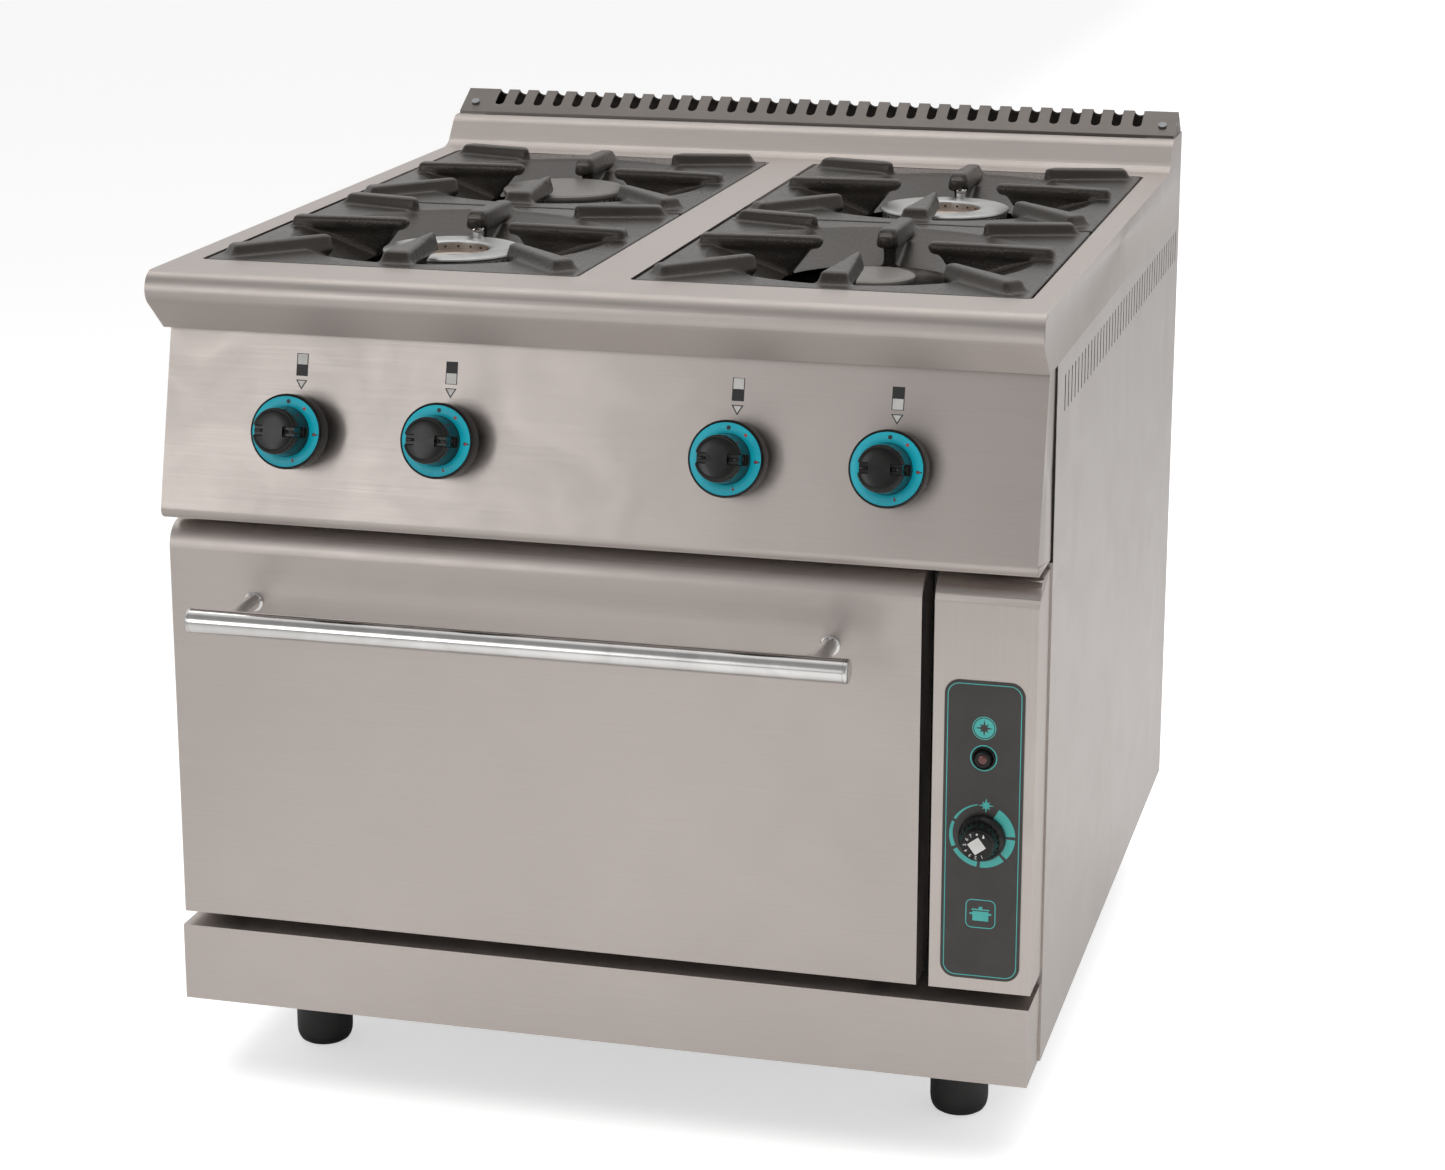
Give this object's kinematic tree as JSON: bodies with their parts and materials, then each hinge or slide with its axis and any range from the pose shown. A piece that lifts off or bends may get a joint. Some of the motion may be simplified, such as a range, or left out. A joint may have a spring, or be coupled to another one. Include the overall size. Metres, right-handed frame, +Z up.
{
  "type": "commercial gas range",
  "caption": "Free-standing steel gas range: dished cast-iron grates over open burners, sloped knob panel, drop-down oven door with bar handle, and a slotted rear flue.",
  "frame": {"origin": "on the floor, under the middle of the range's overall box, feet screwed in", "axes": "+X right seen from the front, +Y towards the back, +Z up"},
  "size_m": [0.8, 0.956, 0.8345],
  "materials": {
    "steel": "brushed stainless steel",
    "flue_steel": "darker satin stainless steel",
    "inner_steel": "plain satin sheet",
    "galvanised": "galvanised sheet",
    "chrome": "polished",
    "cast_iron": "black enamel, slightly grainy",
    "cap_enamel": "grey matt",
    "aluminium": "machined",
    "brass": "plain",
    "gas_pipe": "plain steel pipe",
    "enamel": "dark vitreous enamel",
    "knob_teal": "printed teal dial on a black body",
    "knob_black": "satin black",
    "overlay": "printed dark grey film",
    "wool": "mineral wool",
    "seal": "silicone seal",
    "foot_plastic": "black nylon"
  },
  "bodies": {
    "cabinet": {"back_panel": "galvanised", "base_frame": "galvanised", "burner_bodies": "aluminium", "burner_cap_front_right": "cap_enamel", "burner_cap_rear_left": "cap_enamel", "burner_ring_front_left": "aluminium", "burner_ring_rear_right": "aluminium", "column_overlay": "overlay", "control_column": "steel", "control_panel": "steel", "door_gasket": "seal", "drip_trays": "inner_steel", "flue_cover": "flue_steel", "flue_duct": "galvanised", "flue_screws": "flue_steel", "foot_sleeves": "foot_plastic", "gas_manifold": "gas_pipe", "gas_taps": "brass", "hinge_arms": "inner_steel", "igniter_housing": "knob_black", "injector_pipes": "gas_pipe", "oven_burner": "gas_pipe", "oven_insulation": "wool", "oven_liner": "enamel", "oven_sole": "cast_iron", "oven_valve": "brass", "plinth": "steel", "rack_runners": "chrome", "side_panel_left_lower": "steel", "side_panel_left_upper": "steel", "side_panel_right_lower": "steel", "side_panel_right_upper": "steel", "worktop": "steel"},
    "door": {"door_skin": "steel", "door_inner": "inner_steel", "door_insulation": "wool", "handle_bar": "chrome", "handle_posts": "chrome", "hinge_cheeks": "inner_steel", "hinge_pins": "inner_steel"},
    "rack": {"oven_rack": "chrome"},
    "tap_1": {"tap_spindle_1": "brass"},
    "knob_1": {"burner_knob_1": "knob_teal"},
    "tap_2": {"tap_spindle_2": "brass"},
    "knob_2": {"burner_knob_2": "knob_teal"},
    "tap_3": {"tap_spindle_3": "brass"},
    "knob_3": {"burner_knob_3": "knob_teal"},
    "tap_4": {"tap_spindle_4": "brass"},
    "knob_4": {"burner_knob_4": "knob_teal"},
    "oven_tap": {"oven_spindle": "brass"},
    "oven_dial": {"oven_knob": "knob_black"},
    "button": {"igniter_button": "knob_black"},
    "grate_front_left": {"grate_front_left": "cast_iron"},
    "grate_rear_left": {"grate_rear_left": "cast_iron"},
    "grate_front_right": {"grate_front_right": "cast_iron"},
    "grate_rear_right": {"grate_rear_right": "cast_iron"},
    "foot_front_left": {"foot_front_left": "foot_plastic"},
    "foot_front_right": {"foot_front_right": "foot_plastic"},
    "foot_rear_left": {"foot_rear_left": "foot_plastic"},
    "foot_rear_right": {"foot_rear_right": "foot_plastic"}
  },
  "joints": [
    {"name": "door_hinge", "type": "hinge", "parent": "cabinet", "child": "door", "pos_m": [-0.05075, -0.38705, 0.182], "axis": [1, 0, 0], "range_deg": [0, 90], "stiffness_Nm_per_rad": 8, "springref_deg": -17.19},
    {"name": "rack_slide", "type": "slide", "parent": "cabinet", "child": "rack", "axis": [0, -1, 0], "range_m": [0, 0.3142]},
    {"name": "tap_turn_1", "type": "hinge", "parent": "cabinet", "child": "tap_1", "pos_m": [-0.27, -0.39425, 0.63686], "axis": [0, -0.9717, 0.2363], "range_deg": [0, 170]},
    {"name": "knob_push_1", "type": "slide", "parent": "tap_1", "child": "knob_1", "axis": [0, 0.9717, -0.2363], "range_m": [0, 0.003], "stiffness_N_per_m": 900, "springref_m": -0.002},
    {"name": "tap_turn_2", "type": "hinge", "parent": "cabinet", "child": "tap_2", "pos_m": [-0.13, -0.39425, 0.63686], "axis": [0, -0.9717, 0.2363], "range_deg": [0, 170]},
    {"name": "knob_push_2", "type": "slide", "parent": "tap_2", "child": "knob_2", "axis": [0, 0.9717, -0.2363], "range_m": [0, 0.003], "stiffness_N_per_m": 900, "springref_m": -0.002},
    {"name": "tap_turn_3", "type": "hinge", "parent": "cabinet", "child": "tap_3", "pos_m": [0.13, -0.39425, 0.63686], "axis": [0, -0.9717, 0.2363], "range_deg": [0, 170]},
    {"name": "knob_push_3", "type": "slide", "parent": "tap_3", "child": "knob_3", "axis": [0, 0.9717, -0.2363], "range_m": [0, 0.003], "stiffness_N_per_m": 900, "springref_m": -0.002},
    {"name": "tap_turn_4", "type": "hinge", "parent": "cabinet", "child": "tap_4", "pos_m": [0.27, -0.39425, 0.63686], "axis": [0, -0.9717, 0.2363], "range_deg": [0, 170]},
    {"name": "knob_push_4", "type": "slide", "parent": "tap_4", "child": "knob_4", "axis": [0, 0.9717, -0.2363], "range_m": [0, 0.003], "stiffness_N_per_m": 900, "springref_m": -0.002},
    {"name": "oven_tap_turn", "type": "hinge", "parent": "cabinet", "child": "oven_tap", "pos_m": [0.3529, -0.39805, 0.316], "axis": [0, -1, 0], "range_deg": [0, 285]},
    {"name": "oven_knob_push", "type": "slide", "parent": "oven_tap", "child": "oven_dial", "axis": [0, 1, 0], "range_m": [0, 0.0012], "stiffness_N_per_m": 900, "springref_m": -0.002},
    {"name": "igniter_press", "type": "slide", "parent": "cabinet", "child": "button", "axis": [0, 1, 0], "range_m": [0, 0.0045], "stiffness_N_per_m": 600, "springref_m": -0.003},
    {"name": "lift_grate_front_left", "type": "slide", "parent": "cabinet", "child": "grate_front_left", "axis": [0, 0, 1], "range_m": [0, 0.06]},
    {"name": "lift_grate_rear_left", "type": "slide", "parent": "cabinet", "child": "grate_rear_left", "axis": [0, 0, 1], "range_m": [0, 0.06]},
    {"name": "lift_grate_front_right", "type": "slide", "parent": "cabinet", "child": "grate_front_right", "axis": [0, 0, 1], "range_m": [0, 0.06]},
    {"name": "lift_grate_rear_right", "type": "slide", "parent": "cabinet", "child": "grate_rear_right", "axis": [0, 0, 1], "range_m": [0, 0.06]},
    {"name": "screw_foot_front_left", "type": "slide", "parent": "cabinet", "child": "foot_front_left", "axis": [0, 0, -1], "range_m": [0, 0.07]},
    {"name": "screw_foot_front_right", "type": "slide", "parent": "cabinet", "child": "foot_front_right", "axis": [0, 0, -1], "range_m": [0, 0.07]},
    {"name": "screw_foot_rear_left", "type": "slide", "parent": "cabinet", "child": "foot_rear_left", "axis": [0, 0, -1], "range_m": [0, 0.07]},
    {"name": "screw_foot_rear_right", "type": "slide", "parent": "cabinet", "child": "foot_rear_right", "axis": [0, 0, -1], "range_m": [0, 0.07]}
  ],
  "couplings": [
    {"joint": "rack_slide", "follows": "door_hinge", "m_per_rad": 0.2}
  ]
}
